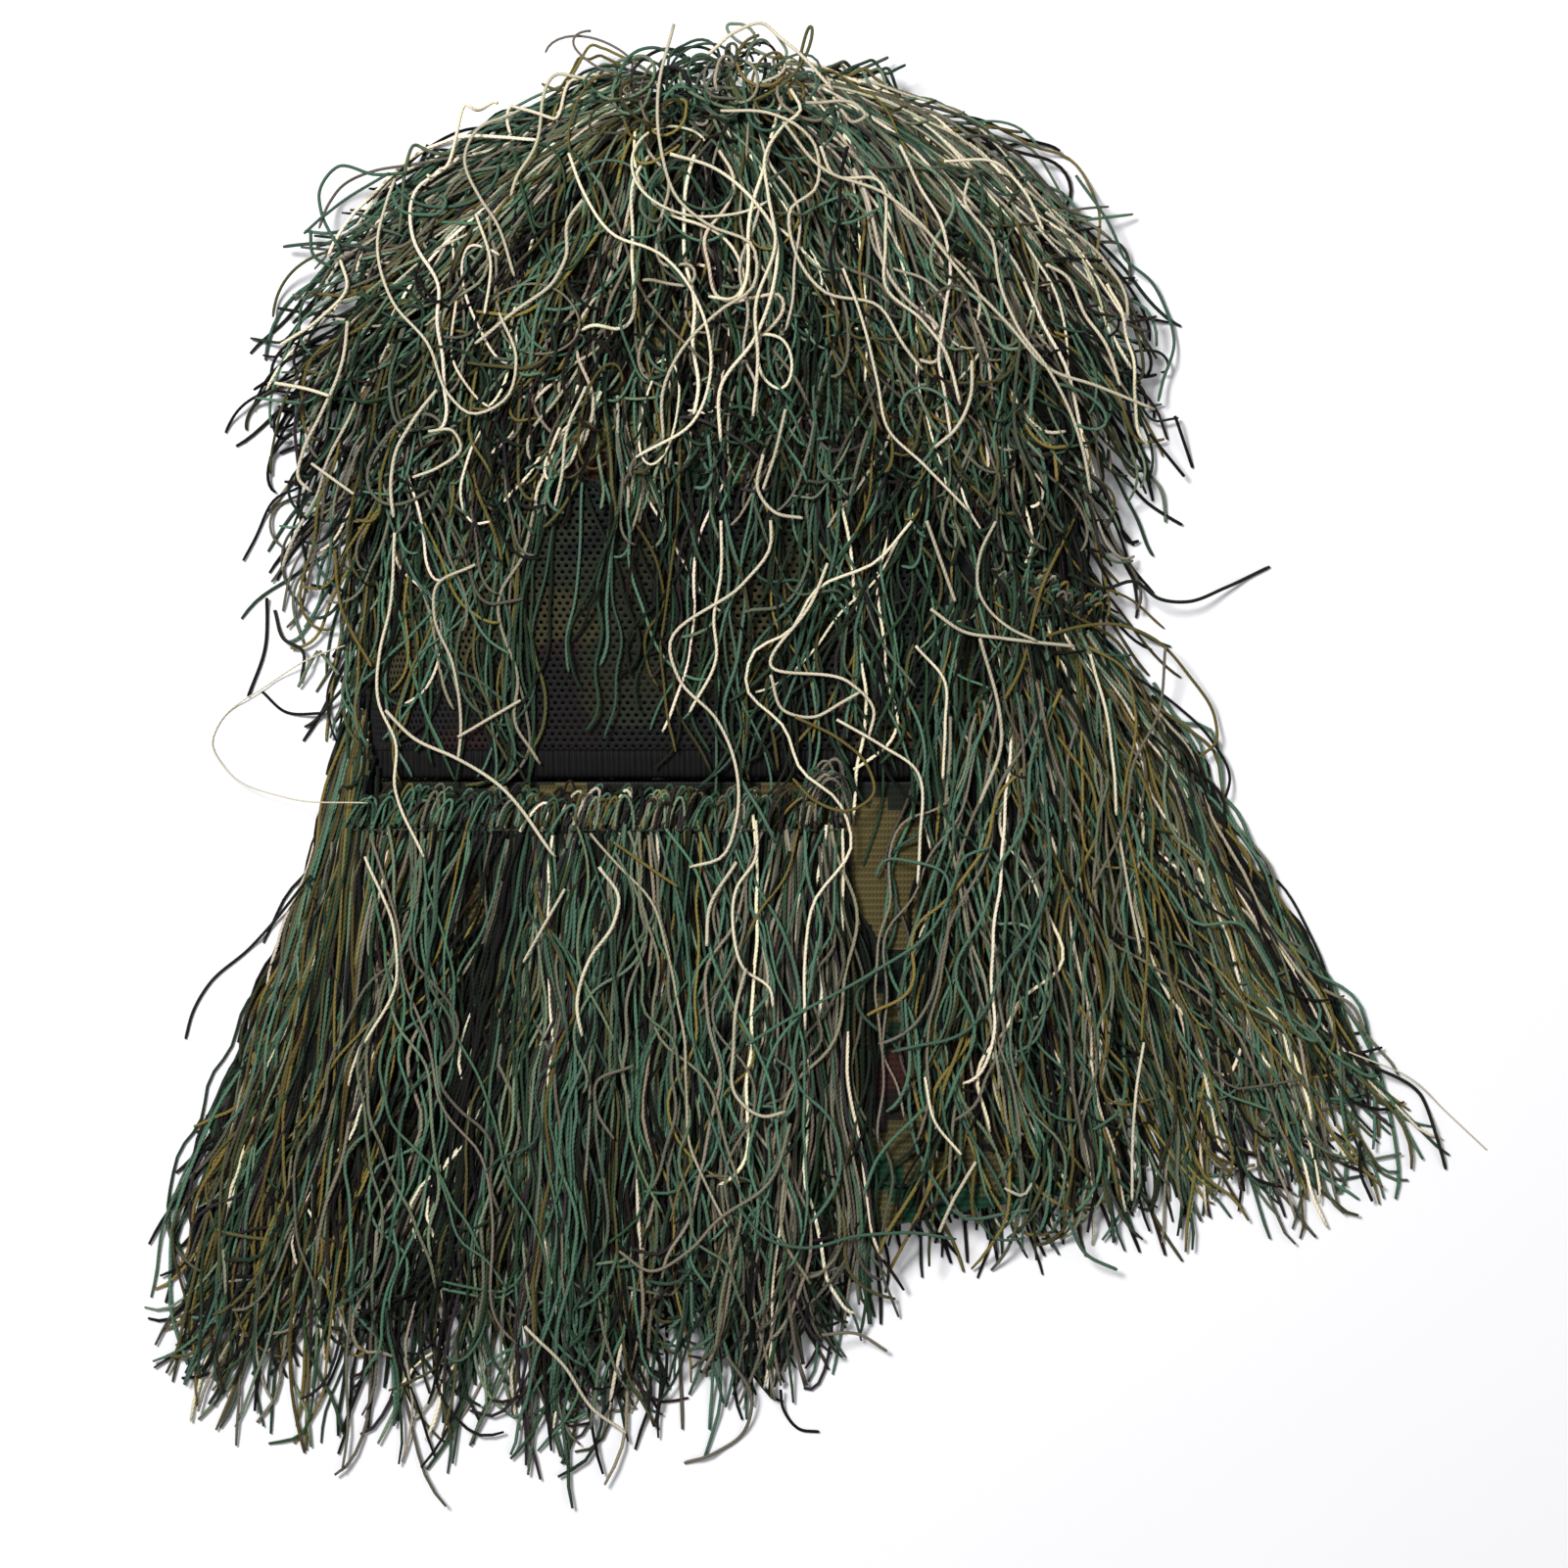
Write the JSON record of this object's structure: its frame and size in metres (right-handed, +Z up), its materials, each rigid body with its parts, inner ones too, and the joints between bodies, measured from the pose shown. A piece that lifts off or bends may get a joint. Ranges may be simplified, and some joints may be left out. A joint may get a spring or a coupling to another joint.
{
  "type": "ghillie hood with face veil and cape",
  "caption": "Camouflage hood of ribbed knit with a mesh face veil, a neck band and a cape, covered with rows of hanging yarn; it lies flat, face up, and its front cape lifts.",
  "frame": {"origin": "on the table, under the middle of the whole outline", "axes": "+X across the hood, +Y from the neck seam to the crown, +Z up from the table through the face"},
  "size_m": [0.542, 0.612, 0.076],
  "materials": {
    "camo_knit": "matte",
    "veil_mesh": "matte",
    "black_elastic": "matte",
    "yarn": "matte",
    "thread": "matte"
  },
  "bodies": {
    "hood": {"back_panel": "camo_knit", "crown_left_panel": "camo_knit", "crown_center_panel": "camo_knit", "crown_right_panel": "camo_knit", "brow_band": "camo_knit", "cheek_panel_right": "camo_knit", "face_veil": "veil_mesh", "neck_band": "black_elastic", "back_cape": "camo_knit", "back_cape_hem": "camo_knit", "back_fringe_crown": "yarn", "back_fringe_nape": "yarn", "back_fringe_cape": "yarn", "crown_fringe_top": "yarn", "crown_fringe_left": "yarn", "crown_fringe_right": "yarn", "brow_fringe": "yarn", "face_fringe": "yarn", "crown_tuft": "yarn", "shoulder_fringe_upper": "yarn", "crown_stitching": "thread", "shoulder_stitching": "thread"},
    "front_cape": {"bib_panel": "camo_knit", "bib_hem": "camo_knit", "chest_stitching": "thread", "chest_fringe_left": "yarn", "chest_fringe_middle": "yarn", "chest_fringe_right": "yarn", "shoulder_fringe_lower": "yarn"}
  },
  "joints": [
    {"name": "front_cape_lift", "type": "hinge", "parent": "hood", "child": "front_cape", "pos_m": [-0.031, 0, 0.0225], "axis": [-1, 0, 0], "range_deg": [0, 110]}
  ]
}
